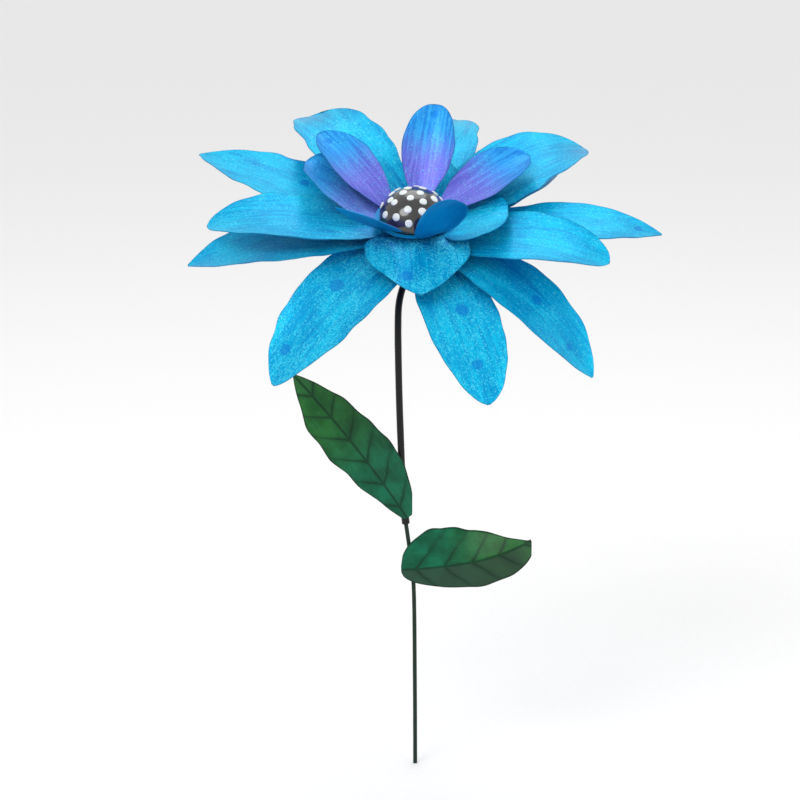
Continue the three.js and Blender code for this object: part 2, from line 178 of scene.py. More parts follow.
# Paint dots on the dome: (direction round the axis, height above the rim), in degrees.
DOME_DOTS = [
    (262, 23), (208, 23), (235, 30), (292, 44), (256, 49), (318, 26), (352, 22), (25, 24),
    (60, 20), (98, 22), (135, 20), (172, 22), (208, 52), (188, 48), (308, 62), (352, 52),
    (254, 74), (174, 73), (356, 78), (36, 37), (56, 60), (82, 44), (118, 70), (130, 44), (156, 46),
]


# ---- Mesh helpers ----
def new_object(name, vertices, faces, to_world=None, attributes=None):
    """A smooth-shaded mesh object from points in millimetres."""
    points = [Vector(v) * MM for v in vertices]
    if to_world is not None:
        points = [to_world @ p for p in points]
    mesh = bpy.data.meshes.new(name)
    mesh.from_pydata(points, [], faces)
    for key, (kind, values) in (attributes or {}).items():
        layer = mesh.attributes.new(key, kind, "POINT")
        field = "vector" if kind == "FLOAT_VECTOR" else "value"
        for item, value in zip(layer.data, values):
            setattr(item, field, value)
    mesh.validate()
    mesh.shade_smooth()
    obj = bpy.data.objects.new(name, mesh)
    bpy.context.scene.collection.objects.link(obj)
    return obj


def sharpen(obj, degrees=CORNER_ANGLE):
    """Marks the edges sharper than the angle, so that only they shade as corners."""
    bm = bmesh.new()
    bm.from_mesh(obj.data)
    bmesh.ops.recalc_face_normals(bm, faces=bm.faces)
    limit = math.radians(degrees)
    for edge in bm.edges:
        edge.smooth = not edge.is_manifold or edge.calc_face_angle(0) < limit
    bm.to_mesh(obj.data)
    bm.free()
    return obj


def place(obj, body, slot, material, *nodes):
    """Gives a finished piece its material, its body and the CAD nodes it stands for."""
    obj.data.materials.clear()
    obj.data.materials.append(material)
    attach(obj, body)
    if nodes:
        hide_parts(*nodes)
    return obj


def keep_inside(obj, node):
    """Presses the finer mesh flat against the CAD node's box where it passes it, by up to 1.6 mm."""
    low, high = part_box(node)
    for vertex in obj.data.vertices:
        for axis in range(3):
            vertex.co[axis] = min(max(vertex.co[axis], low[axis]), high[axis])
    return obj


def mix(a, b, t):
    return a + (b - a) * t


def along(values, u):
    """The value at u between numbers evenly spaced from 0 to 1."""
    x = u * (len(values) - 1)
    i = min(int(x), len(values) - 2)
    return mix(values[i], values[i + 1], x - i)


TIP_WIDTH = 0.04


def outline(shape, u):
    """Share of a blade's full width at u along it."""
    if u < shape["widest"]:
        swell = math.sin(math.pi / 2 * u / shape["widest"]) ** shape.get("rise", 1)
        return mix(shape["root_width"], 1, swell)
    t = (u - shape["widest"]) / (1 - shape["widest"])
    return max(TIP_WIDTH, max(0, 1 - t * t) ** shape["blunt"])


def blade_frame(blade, u):
    """T along the blade, C across it and N out of its upper face."""
    slope = math.radians(along(blade["slopes"], u))
    heading = math.radians(blade["azimuth"] + along(blade["turn"], u))
    flat = math.cos(slope)
    T = Vector((flat * math.cos(heading), flat * math.sin(heading), math.sin(slope)))
    C = Vector((-math.sin(heading), math.cos(heading), 0))
    C.rotate(Quaternion(T, math.radians(along(blade["roll"], u))))
    return T, C, T.cross(C)


class Sheet:
    """Collects blades and discs as closed shells with the attributes that the paint reads."""

    KINDS = dict(run="FLOAT", across="FLOAT", share="FLOAT", edge="FLOAT", upper="FLOAT", tone="FLOAT",
                 glitter="FLOAT", lilac="FLOAT", dot_a="FLOAT_VECTOR", dot_b="FLOAT_VECTOR")

    def __init__(self):
        self.vertices, self.faces = [], []
        self.values = {key: [] for key in self.KINDS}

    def vertex(self, point, **values):
        self.vertices.append(point)
        for key, kind in self.KINDS.items():
            blank = (0, 0, 0) if kind == "FLOAT_VECTOR" else 0
            self.values[key].append(values.get(key, blank))
        return len(self.vertices) - 1

    def build(self, name, to_world=None):
        attributes = {key: (kind, self.values[key]) for key, kind in self.KINDS.items()}
        return sharpen(new_object(name, self.vertices, self.faces, to_world, attributes), SHEET_CORNER_ANGLE)


# The dents of hand bending: their depth, and their size along and across a blade.
DENT = 0.32
DENT_RUN = 26
DENT_ACROSS = 15
# The rounded rim, and how much thinner a disc is drawn, as a share of its thickness.
RIM = 0.12
DISC_INSET = 0.08
# The uneven edge: its share of half the width, its length along the blade, and the noise
# offsets that set a blade's two sides, and the blades, apart from each other.
EDGE_WOBBLE = 0.09
EDGE_RUN = 11
SIDE_OFFSET = 5
TONE_OFFSET = 40
# Distances from the edge that the paint reads near a tip and on a disc.
TIP_MARGIN = 0.6
DISC_MARGIN = 2
DISC_STREAK = 0.4


def add_blade(sheet, shape, tone):
    """A curved blade of the sheet's thickness, with a rounded rim and the dents of hand bending."""
    blade = {**BLADE, **shape}
    rib = Vector(blade["start"])
    step = blade["length"] / BLADE_ROWS
    dots = (list(blade["dots"]) + [(0, 0, 0)] * 2)[:2]
    upper, lower, middle = [], [], {}
    for i in range(BLADE_ROWS + 1):
        u = i / BLADE_ROWS
        if i:
            rib = rib + blade_frame(blade, u - 0.5 / BLADE_ROWS)[0] * step
        T, C, N = blade_frame(blade, u)
        for j in range(BLADE_COLUMNS + 1):
            v = 2 * j / BLADE_COLUMNS - 1
            side = blade["left"] if v < 0 else blade["right"]
            half = side["width"] * outline(side, u) if side else blade["width"] / 2 * outline(blade, u)
            ripple = Vector((u * blade["length"] / EDGE_RUN, SIDE_OFFSET if v < 0 else 0, tone * TONE_OFFSET))
            half *= 1 + EDGE_WOBBLE * abs(v) * noise.noise(ripple)
            rise = half * (along(blade["cup"], u) * v * v + along(blade["fold"], u) * abs(v))
            spot = Vector((u * blade["length"] / DENT_RUN, half * v / DENT_ACROSS, tone * TONE_OFFSET))
            dent = DENT * math.sin(math.pi * u) * noise.noise(spot)
            centre = rib + C * (half * v) + N * (rise + dent)
            values = dict(
                run=u * blade["length"], across=half * v, share=u, tone=tone,
                edge=min(half * (1 - abs(v)), blade["length"] * (1 - u) * TIP_MARGIN),
                glitter=blade["glitter"], lilac=blade["lilac"], dot_a=dots[0], dot_b=dots[1],
            )
            on_border = i in (0, BLADE_ROWS) or j in (0, BLADE_COLUMNS)
            pull = C * (-RIM * v if on_border else 0)
            upper.append(sheet.vertex(centre + pull + N * (SHEET / 2), upper=1, **values))
            lower.append(sheet.vertex(centre + pull - N * (SHEET / 2), upper=0, **values))
            if on_border:
                middle[i, j] = sheet.vertex(centre, upper=0.5, **values)
    size = BLADE_COLUMNS + 1
    for i in range(BLADE_ROWS):
        for j in range(BLADE_COLUMNS):
            a, b = i * size + j, (i + 1) * size + j
            sheet.faces.append((upper[a], upper[b], upper[b + 1], upper[a + 1]))
            sheet.faces.append((lower[a], lower[a + 1], lower[b + 1], lower[b]))
    border = [(i, 0) for i in range(BLADE_ROWS)]
    border += [(BLADE_ROWS, j) for j in range(BLADE_COLUMNS)]
    border += [(i, BLADE_COLUMNS) for i in range(BLADE_ROWS, 0, -1)]
    border += [(0, j) for j in range(BLADE_COLUMNS, 0, -1)]
    for k, (i, j) in enumerate(border):
        n, m = border[(k + 1) % len(border)]
        a, b = i * size + j, n * size + m
        sheet.faces.append((upper[a], middle[i, j], middle[n, m], upper[b]))
        sheet.faces.append((middle[i, j], lower[a], lower[b], middle[n, m]))


def add_disc(sheet, radius, height):
    """The flat centre of a petal layer, with the hole for the bush."""
    face = 1 - DISC_INSET
    profile = [
        (DISC_BORE, -face), (radius - RIM, -face), (radius, 0),
        (radius - RIM, face), (DISC_BORE, face),
    ]
    rings = []
    for r, side in profile:
        ring = []
        for k in range(TURNED_SIDES):
            a = 2 * math.pi * k / TURNED_SIDES
            point = Vector((r * math.cos(a), r * math.sin(a), height + side * SHEET / 2))
            values = dict(upper=side * 0.5 + 0.5, edge=DISC_MARGIN, run=r * DISC_STREAK, across=r)
            ring.append(sheet.vertex(point, **values))
        rings.append(ring)
    for ring, after in zip(rings, rings[1:] + rings[:1]):
        for k in range(TURNED_SIDES):
            n = (k + 1) % TURNED_SIDES
            sheet.faces.append((ring[k], ring[n], after[n], after[k]))


PLAIN_GLITTER = 0.25
GLITTER_LOST_TO_LILAC = 0.2
# Each petal's tone is one of this many steps; layers and neighbours are steps apart.
TONES = 19
LAYER_TONES = 8
PETAL_TONES = 5


def petal_layer(name, petals, level, disc, lilac):
    """One stamped layer: a disc with its petals."""
    sheet = Sheet()
    radius, root = disc
    height = level * LAYER_PITCH
    add_disc(sheet, radius, height)
    paint = {"lilac": lilac, "glitter": PLAIN_GLITTER - GLITTER_LOST_TO_LILAC * lilac}
    for k, petal in enumerate(petals):
        angle = math.radians(petal["azimuth"])
        start = (root * math.cos(angle), root * math.sin(angle), height)
        tone = (level * LAYER_TONES + k * PETAL_TONES) % TONES / TONES
        add_blade(sheet, {**paint, **petal, "start": start}, tone)
    return sheet.build(name, HEAD)


def swept(stations, frame_at, sides=ROD_SIDES, closed=False, radius_at=None):
    """Rings round a path: each station is (distance along it, radius); radius 0 is a point."""
    vertices, faces, rings = [], [], []
    for distance, radius in stations:
        centre, X, Y = frame_at(distance)
        count = 1 if radius == 0 else sides
        ring = []
        for k in range(count):
            a = 2 * math.pi * k / sides
            r = radius_at(radius, a) if radius_at else radius
            vertices.append(centre + X * (r * math.cos(a)) + Y * (r * math.sin(a)))
            ring.append(len(vertices) - 1)
        rings.append(ring)
    pairs = list(zip(rings, rings[1:]))
    if closed:
        pairs.append((rings[-1], rings[0]))
    for a, b in pairs:
        for k in range(sides):
            n = (k + 1) % sides
            if len(a) == 1:
                faces.append((a[0], b[n], b[k]))
            elif len(b) == 1:
                faces.append((a[k], a[n], b[0]))
            else:
                faces.append((a[k], a[n], b[n], b[k]))
    return vertices, faces


def straight(distance):
    """The frame of the +Z axis, for turned pieces."""
    return Vector((0, 0, distance)), Vector((1, 0, 0)), Vector((0, 1, 0))


# How far a round's middle is pulled toward its two ends, and the most of an edge it takes.
ROUND_PULL = 0.29
ROUND_SHARE = 0.4


def softened(corners, radius, closed=True):
    """(height, radius) corners with each one rounded; the two ends of an open profile stay."""
    points = []
    for k, corner in enumerate(corners):
        here = Vector(corner)
        if not closed and k in (0, len(corners) - 1):
            points.append(here)
            continue
        before = Vector(corners[k - 1]) - here
        after = Vector(corners[(k + 1) % len(corners)]) - here
        reach = min(radius, before.length * ROUND_SHARE, after.length * ROUND_SHARE)
        to_before = before.normalized() * reach
        to_after = after.normalized() * reach
        points += [here + to_before, here + (to_before + to_after) * ROUND_PULL, here + to_after]
    return [tuple(point) for point in points]


def ring_piece(name, corners, soft=EDGE_ROUND, frame_at=straight, to_world=HEAD, radius_at=None):
    """A turned ring from the (height, radius) corners of its section."""
    vertices, faces = swept(softened(corners, soft), frame_at, TURNED_SIDES, True, radius_at)
    return sharpen(new_object(name, vertices, faces, to_world))


def turned_piece(name, corners, soft=EDGE_ROUND):
    """A turned solid from (height, radius) corners that start and end on the axis."""
    vertices, faces = swept(softened(corners, soft, closed=False), straight, TURNED_SIDES)
    return sharpen(new_object(name, vertices, faces, HEAD))


def section(inside, outside, bottom, top):
    """The (height, radius) corners of a plain ring."""
    return [(bottom, inside), (bottom, outside), (top, outside), (top, inside)]


class Path:
    """A smooth line through points, with frames that don't twist."""

    STEPS = 14

    def __init__(self, points):
        knots = [Vector(p) for p in points]
        knots = [2 * knots[0] - knots[1]] + knots + [2 * knots[-1] - knots[-2]]
        self.points = []
        for a, b, c, d in zip(knots, knots[1:], knots[2:], knots[3:]):
            for k in range(self.STEPS):
                t = k / self.STEPS
                self.points.append(0.5 * (2 * b + (c - a) * t + (2 * a - 5 * b + 4 * c - d) * t * t
                                          + (3 * b - a - 3 * c + d) * t ** 3))
        self.points.append(knots[-2])
        self.lengths = [0]
        for p, q in zip(self.points, self.points[1:]):
            self.lengths.append(self.lengths[-1] + (q - p).length)
        self.length = self.lengths[-1]
        self.frames = []
        X = Vector((1, 0, 0))
        for k in range(len(self.points)):
            T = (self.points[min(k + 1, len(self.points) - 1)] - self.points[max(k - 1, 0)]).normalized()
            X = (X - T * X.dot(T)).normalized()
            self.frames.append((X, T.cross(X)))

    def __call__(self, distance):
        k = 0
        while k < len(self.lengths) - 2 and self.lengths[k + 1] < distance:
            k += 1
        t = (distance - self.lengths[k]) / (self.lengths[k + 1] - self.lengths[k])
        X, Y = self.frames[k if t < 0.5 else k + 1]
        return self.points[k].lerp(self.points[k + 1], t), X, Y


def wall(start, end, radius):
    """Stations along a stretch of constant radius."""
    count = max(1, round(abs(end - start) / WALL_PITCH))
    return [(mix(start, end, k / count), radius) for k in range(count + 1)]


# ---- Materials ----
def srgb(red, green, blue):
    """A linear colour with alpha from the 0 to 255 values of a colour picker."""
    return tuple(((c / 255 + 0.055) / 1.055) ** 2.4 if c > 10 else c / 3294.6
                 for c in (red, green, blue)) + (1,)


class Shade:
    """Builds one procedural material. Lengths in its textures are millimetres."""

    def __init__(self, name, **sockets):
        self.material = bpy.data.materials.new(name)
        self.material.use_nodes = True
        self.tree = self.material.node_tree
        self.surface = self.tree.nodes["Principled BSDF"]
        for key, value in sockets.items():
            self.surface.inputs[key.replace("_", " ")].default_value = value

    def node(self, kind, inputs=(), **settings):
        node = self.tree.nodes.new(kind)
        for key, value in settings.items():
            setattr(node, key, value)
        for key, value in dict(inputs).items():
            if isinstance(value, bpy.types.NodeSocket):
                self.tree.links.new(value, node.inputs[key])
            else:
                node.inputs[key].default_value = value
        return node

    def math(self, operation, *values):
        return self.node("ShaderNodeMath", enumerate(values), operation=operation).outputs[0]

    def mask(self, value, low, high):
        """0 at low, 1 at high and smooth between."""
        ends = {"Value": value, "From Min": low, "From Max": high}
        return self.node("ShaderNodeMapRange", ends, interpolation_type="SMOOTHSTEP").outputs["Result"]

    def mixed(self, factor, a, b):
        return self.node("ShaderNodeMix", {0: factor, 6: a, 7: b}, data_type="RGBA").outputs[2]

    def attribute(self, name, output="Fac"):
        return self.node("ShaderNodeAttribute", attribute_name=name).outputs[output]

    def vector(self, x, y, z):
        return self.node("ShaderNodeCombineXYZ", {0: x, 1: y, 2: z}).outputs[0]

    def coordinates(self):
        """The piece's own coordinates in millimetres."""
        local = self.node("ShaderNodeTexCoord").outputs["Object"]
        scaled = self.node("ShaderNodeVectorMath", {0: local, 1: (1 / MM,) * 3}, operation="MULTIPLY")
        return scaled.outputs[0]

    def stretched(self, vector, x, y, z):
        return self.node("ShaderNodeVectorMath", {0: vector, 1: (x, y, z)}, operation="MULTIPLY").outputs[0]

    def noise(self, vector, size, detail=2, roughness=0.5):
        """Noise with features about size millimetres across."""
        inputs = {"Vector": vector, "Scale": 1 / size, "Detail": detail, "Roughness": roughness}
        return self.node("ShaderNodeTexNoise", inputs).outputs["Fac"]

    def cells(self, vector, size):
        """A random number for each cell of about size millimetres."""
        inputs = {"Vector": vector, "Scale": 1 / size}
        colour = self.node("ShaderNodeTexVoronoi", inputs).outputs["Color"]
        return self.node("ShaderNodeSeparateColor", {0: colour}).outputs[0]

    def finish(self, colour, roughness, height=None, depth=0.05):
        """Links the colour, the roughness and a relief depth millimetres deep."""
        self.tree.links.new(colour, self.surface.inputs["Base Color"])
        self.tree.links.new(roughness, self.surface.inputs["Roughness"])
        if height is not None:
            bump = self.node("ShaderNodeBump", {"Height": height, "Distance": depth * MM, "Strength": 1.0})
            self.tree.links.new(bump.outputs[0], self.surface.inputs["Normal"])
        return self.material


SKY = srgb(0, 150, 203)
SKY_PALE = srgb(0, 176, 221)
STREAK_PALE = srgb(14, 196, 232)
STREAK_DEEP = srgb(0, 126, 196)
# Painted shade: the deeper blue that the petals take toward their roots and on the discs, under the layers
# above.
ROOT_SHADE_BLUE = srgb(0, 92, 168)
VIOLET = srgb(98, 100, 204)
VIOLET_PALE = srgb(122, 124, 222)
LILAC_TIP = srgb(30, 130, 214)
LILAC_TIP_PALE = srgb(52, 164, 232)
GLITTER_PALE = srgb(84, 218, 238)
GRAIN_DEEP = srgb(0, 92, 164)
DAB_BLUE = srgb(0, 112, 196)
RIM_BLUE = srgb(16, 92, 124)
# Painted shade: the underside is painted a darker blue than the upper face.
UNDERSIDE_SHADE_BLUE = srgb(0, 94, 156)
UNDERSIDE_SHADE_BLUE_PALE = srgb(0, 118, 180)
FLECK_SIZE = 0.55
SPANGLE_SIZE = 1.3
PETAL_RELIEF = 0.07


def petal_paint(name):
    """Brushed translucent blue over metal, with glitter, dark dabs and a bare edge line, and painted shade:
    deeper blue toward the roots and a darker underside.
    """
    m = Shade(name, Coat_Weight=0.06, Coat_Roughness=0.12, Metallic=0.3, Specular_IOR_Level=0.08)
    run, across, tone = m.attribute("run"), m.attribute("across"), m.attribute("tone")
    spot = m.vector(run, across, m.math("MULTIPLY", tone, 90))
    streak = m.noise(m.stretched(spot, 0.07, 1, 1), 1.6, 4, 0.65)
    patch = m.noise(m.stretched(spot, 0.5, 1, 1), 13, 2)
    wave = m.math("MULTIPLY_ADD", m.math("SUBTRACT", streak, 0.5), 0.3, m.attribute("share"))
    sky = m.mixed(m.mask(patch, 0.36, 0.66), SKY, SKY_PALE)
    sky = m.mixed(m.math("MULTIPLY", m.mask(streak, 0.42, 0.7), 0.6), sky, STREAK_PALE)
    sky = m.mixed(m.math("MULTIPLY", m.mask(streak, 0.5, 0.26), 0.6), sky, STREAK_DEEP)
    # Painted shade: the blue deepens toward each petal's root, where the hub and the layers above shade it.
    root_shaded = m.mixed(m.math("MULTIPLY", m.mask(wave, 0.36, 0.06), 0.7), sky, ROOT_SHADE_BLUE)
    violet = m.mixed(m.mask(streak, 0.4, 0.65), VIOLET, VIOLET_PALE)
    lilac_tip = m.mixed(m.mask(streak, 0.4, 0.65), LILAC_TIP, LILAC_TIP_PALE)
    lilac = m.mixed(m.mask(wave, 0.3, 0.78), violet, lilac_tip)
    face = m.mixed(m.attribute("lilac"), root_shaded, lilac)
    flecks = m.cells(spot, FLECK_SIZE)
    thickness = m.math("MULTIPLY", m.attribute("glitter"), m.mask(patch, 0.25, 0.6))
    sparkle = m.mask(m.math("ADD", flecks, m.math("MULTIPLY", thickness, 0.42)), 0.93, 1.02)
    face = m.mixed(m.math("MULTIPLY", sparkle, 0.5), face, GLITTER_PALE)
    grain = m.mask(m.math("SUBTRACT", flecks, m.math("MULTIPLY", thickness, 0.1)), 0.1, 0.02)
    face = m.mixed(m.math("MULTIPLY", grain, 0.4), face, GRAIN_DEEP)
    wobble = m.math("MULTIPLY", m.math("SUBTRACT", m.noise(spot, 2.2), 0.5), 1.6)
    flat = m.vector(run, across, 0)
    for key in ("dot_a", "dot_b"):
        x, y, radius = m.node("ShaderNodeSeparateXYZ", {0: m.attribute(key, "Vector")}).outputs
        gap = m.node("ShaderNodeVectorMath", {0: flat, 1: m.vector(x, y, 0)}, operation="DISTANCE")
        inside = m.math("ADD", m.math("SUBTRACT", gap.outputs["Value"], radius), wobble)
        face = m.mixed(m.math("MULTIPLY", m.mask(inside, 0.4, -0.6), 0.6), face, DAB_BLUE)
    rim = m.math("MULTIPLY_ADD", m.math("SUBTRACT", m.noise(spot, 5), 0.5), 0.9, m.attribute("edge"))
    face = m.mixed(m.math("MULTIPLY", m.mask(rim, 0.6, 0.15), 0.5), face, RIM_BLUE)
    # Painted shade: the lower face takes the darker underside blue.
    under_shade = m.mixed(m.mask(patch, 0.35, 0.65), UNDERSIDE_SHADE_BLUE, UNDERSIDE_SHADE_BLUE_PALE)
    colour = m.mixed(m.mask(m.attribute("upper"), 0.4, 0.6), under_shade, face)
    roughness = m.math("MULTIPLY_ADD", streak, 0.22, 0.24)
    relief = m.math("ADD", m.math("MULTIPLY", streak, 0.7), m.math("MULTIPLY", sparkle, 0.6))
    return m.finish(colour, roughness, relief, PETAL_RELIEF)


BASE_GREEN = srgb(4, 78, 54)
BASE_GREEN_PALE = srgb(6, 102, 74)
TIP_GREEN = srgb(22, 82, 34)
TIP_GREEN_PALE = srgb(36, 104, 44)
STREAK_GREEN = srgb(38, 122, 76)
# Painted shade: the greyer, darker green of the half of a leaf that faces down.
DOWNWARD_SHADE_GREEN = srgb(42, 62, 50)
TIP_END_GREEN = srgb(64, 118, 70)
VEIN_GREEN = srgb(5, 44, 26)
RIM_GREEN = srgb(10, 36, 24)
# Painted shade: the underside of a leaf is painted a darker green.
UNDERSIDE_SHADE_GREEN = srgb(14, 62, 36)
UNDERSIDE_SHADE_GREEN_PALE = srgb(22, 80, 46)
VEIN_PITCH = 15
VEIN_SLANT = 0.95
LEAF_RELIEF = 0.12


def leaf_paint(name):
    """Green enamel with darker painted veins either side of a midrib, painted shade beside the veins, a
    darker underside as painted shade, and painted shade on the half that faces down.
    """
    m = Shade(name, Coat_Weight=0.1, Coat_Roughness=0.2, Specular_IOR_Level=0.12)
    run, across = m.attribute("run"), m.attribute("across")
    offset = m.math("ABSOLUTE", across)
    spot = m.vector(run, across, 0)
    streak = m.noise(m.stretched(spot, 0.12, 1, 1), 1.5, 4, 0.6)
    patch = m.noise(spot, 12, 3)
    base_green = m.mixed(m.mask(patch, 0.36, 0.66), BASE_GREEN, BASE_GREEN_PALE)
    tip_green = m.mixed(m.mask(patch, 0.36, 0.66), TIP_GREEN, TIP_GREEN_PALE)
    green = m.mixed(m.mask(m.attribute("share"), 0.2, 0.75), base_green, tip_green)
    green = m.mixed(m.math("MULTIPLY", m.mask(streak, 0.5, 0.75), 0.45), green, STREAK_GREEN)
    # Painted shade: the half where across is negative, which faces down, turns greyer and darker, as strongly
    # as the leaf's tone.
    downward_shade = m.math("MULTIPLY", m.mask(across, 0.5, -1), m.attribute("tone"))
    green = m.mixed(downward_shade, green, DOWNWARD_SHADE_GREEN)
    green = m.mixed(m.math("MULTIPLY", m.mask(m.attribute("share"), 0.8, 1), 0.4), green, TIP_END_GREEN)
    bent = m.math("MULTIPLY_ADD", m.math("SUBTRACT", m.noise(spot, 9), 0.5), 3, run)
    vein_run = m.math("DIVIDE", m.math("MULTIPLY_ADD", offset, -VEIN_SLANT, bent), VEIN_PITCH)
    apart = m.math("ABSOLUTE", m.math("SUBTRACT", m.math("FRACT", vein_run), 0.5))
    taper = m.math("MULTIPLY", m.mask(offset, 15, 1), 0.05)
    vein = m.mask(m.math("SUBTRACT", apart, taper), 0.05, -0.02)
    # Painted shade: a wide soft darkening round each side vein.
    vein_shade = m.math("MULTIPLY", m.mask(apart, 0.24, 0.02), 0.3)
    midrib = m.mask(offset, 0.9, 0.35)
    dark = m.math("MAXIMUM", m.math("MULTIPLY", m.math("MAXIMUM", vein, midrib), 0.75), vein_shade)
    colour = m.mixed(dark, green, VEIN_GREEN)
    rim = m.math("MULTIPLY_ADD", m.math("SUBTRACT", m.noise(spot, 4), 0.5), 0.8, m.attribute("edge"))
    colour = m.mixed(m.math("MULTIPLY", m.mask(rim, 0.9, 0.3), 0.8), colour, RIM_GREEN)
    # Painted shade: the lower face takes the darker underside green.
    under_shade = m.mixed(m.mask(patch, 0.35, 0.65), UNDERSIDE_SHADE_GREEN, UNDERSIDE_SHADE_GREEN_PALE)
    colour = m.mixed(m.mask(m.attribute("upper"), 0.4, 0.6), under_shade, colour)
    roughness = m.math("MULTIPLY_ADD", streak, 0.25, 0.26)
    relief = m.math("SUBTRACT", m.math("MULTIPLY", streak, 0.5), dark)
    return m.finish(colour, roughness, relief, LEAF_RELIEF)


def enamel(name, deep, pale, rough, peel=1.4, coat=0.6, shine=0.5):
    """Gloss paint with a fine orange peel and a little dust."""
    m = Shade(name, Coat_Weight=coat, Coat_Roughness=0.08, Specular_IOR_Level=shine)
    where = m.coordinates()
    dust = m.noise(where, 0.7, 4, 0.7)
    cloud = m.noise(where, 9, 3)
    colour = m.mixed(m.mask(m.math("ADD", dust, m.math("MULTIPLY", cloud, 0.5)), 0.72, 1.0), deep, pale)
    roughness = m.math("MULTIPLY_ADD", cloud, 0.16, rough)
    return m.finish(colour, roughness, m.noise(where, peel, 2), 0.03)


def bare_metal(name, dark, light, rough):
    """Plated or turned metal, with fine turning marks and a mottled plating."""
    m = Shade(name, Metallic=1.0)
    where = m.coordinates()
    spangle = m.cells(where, SPANGLE_SIZE)
    lines = m.noise(m.stretched(where, 1, 1, 14), 2.5, 3)
    colour = m.mixed(m.math("MULTIPLY_ADD", lines, 0.5, m.math("MULTIPLY", spangle, 0.4)), dark, light)
    return m.finish(colour, m.math("MULTIPLY_ADD", spangle, 0.15, rough), lines, 0.02)


PETAL_BLUE = petal_paint("petal_blue_paint")
PETAL_LILAC = petal_paint("petal_lilac_paint")
LEAF_GREEN = leaf_paint("leaf_green_paint")
STEM_BLACK = enamel("stem_black_gloss", srgb(4, 4, 4), srgb(14, 15, 14), 0.3,
                    peel=2.2, coat=0.1, shine=0.25)
STAKE_GREEN = enamel("stake_dark_green", srgb(9, 34, 22), srgb(22, 52, 36), 0.38,
                     peel=1.2, coat=0.05, shine=0.25)
DOME_BLACK = enamel("dome_black_gloss", srgb(7, 7, 8), srgb(18, 19, 20), 0.12, peel=1.8, coat=1.0)
DOT_WHITE = enamel("dome_dot_white", srgb(214, 220, 218), srgb(240, 243, 240), 0.3, peel=1.0, coat=0.4)
ZINC = bare_metal("zinc_plated_steel", srgb(150, 154, 160), srgb(206, 208, 210), 0.24)
BRASS = bare_metal("turned_brass", srgb(150, 112, 52), srgb(206, 168, 92), 0.22)


# ---- The flower head ----
LAYERS = [
    ("petal_layer_lower", LOWER_PETALS, OUTER_DISC, 0, PETAL_BLUE, "petal_blue"),
    ("petal_layer_upper", UPPER_PETALS, OUTER_DISC, 0, PETAL_BLUE, "petal_blue"),
    ("petal_layer_middle", MIDDLE_PETALS, MIDDLE_DISC, 0, PETAL_BLUE, "petal_blue"),
    ("petal_layer_inner", INNER_PETALS, INNER_DISC, 1, PETAL_LILAC, "petal_lilac"),
]


def build_petals():
    for level, (node, petals, disc, lilac, material, slot) in enumerate(LAYERS):
        layer = keep_inside(petal_layer(node + "_painted", petals, level, disc, lilac), node)
        place(layer, FLOWER_BODY, slot, material, node)


DOME_RINGS = 26


def dome_profile(radius, height):
    """(height, radius) round an upright half ellipse, from its top to its rim."""
    steps = [math.pi / 2 * k / DOME_RINGS for k in range(DOME_RINGS + 1)]
    points = [(DOME_BOTTOM + height * math.cos(t), radius * math.sin(t)) for t in steps]
    return [(points[0][0], 0)] + points[1:]


def dome_point(azimuth, angle, lift=0):
    """A point of the dome's outside, lifted off it along its normal."""
    flat = Vector((math.cos(azimuth), math.sin(azimuth), 0))
    up = Vector((0, 0, 1))
    point = flat * (DOME_RADIUS * math.cos(angle)) + up * (DOME_BOTTOM + DOME_HEIGHT * math.sin(angle))
    normal = flat * (math.cos(angle) / DOME_RADIUS) + up * (math.sin(angle) / DOME_HEIGHT)
    return point + normal.normalized() * lift


def build_dome():
    outside = dome_profile(DOME_RADIUS, DOME_HEIGHT)
    inside = dome_profile(DOME_RADIUS - DOME_WALL, DOME_HEIGHT - DOME_WALL)
    vertices, faces = swept(outside + inside[::-1], straight, TURNED_SIDES)
    dome = sharpen(new_object("dome_cap_enamelled", vertices, faces, HEAD))
    place(dome, FLOWER_BODY, "dome_black", DOME_BLACK, "dome_cap")


def on_dome(point, lift):
    """The point of the dome in a given point's direction, lifted off it."""
    low = point - Vector((0, 0, DOME_BOTTOM))
    azimuth = math.atan2(low.y, low.x)
    angle = math.atan2(low.z / DOME_HEIGHT, math.hypot(low.x, low.y) / DOME_RADIUS)
    return dome_point(azimuth, angle, lift)


DOT_RINGS = 7
DOT_SPOKES = 28
DOT_ROOT = -0.3
# How much the dots differ in size and in outline, and the noise steps between them.
DOT_SIZE_RANGE = 0.14
DOT_SIZE_STEP = 3.7
DOT_OUTLINE_RANGE = 0.11
DOT_OUTLINE_STEP = 2.3
DOT_WELD = 0.004


